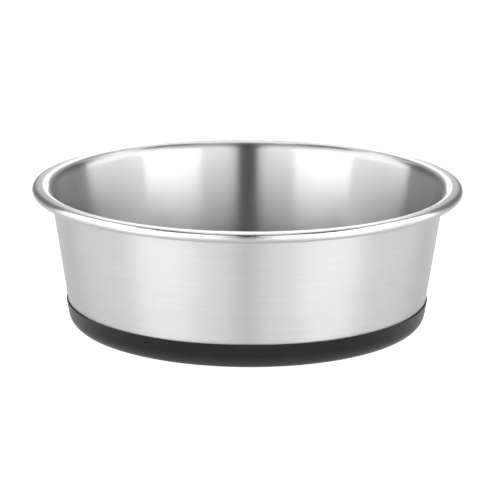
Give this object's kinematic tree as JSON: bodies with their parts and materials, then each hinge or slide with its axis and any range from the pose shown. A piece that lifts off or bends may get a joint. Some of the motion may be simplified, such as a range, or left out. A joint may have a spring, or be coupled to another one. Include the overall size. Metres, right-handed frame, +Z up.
{
  "type": "dog bowl",
  "caption": "Round stainless pet bowl with a gently flared wall, a flat rim rolled into a bead, and a bonded black rubber foot ring that stops it sliding.",
  "frame": {"origin": "on the table, under the middle of the foot ring", "axes": "+Z up along the bowl's axis of symmetry, towards the open mouth; X and Y are level"},
  "size_m": [0.216, 0.216, 0.0713],
  "materials": {
    "steel": "satin brushed outside, brighter spun finish inside, polished rim",
    "rubber": "smooth moulded, slight sheen",
    "adhesive": "cured bond line"
  },
  "bodies": {
    "root": {"bowl_shell": "steel", "rubber_base": "rubber", "bond_film": "adhesive"}
  },
  "joints": []
}
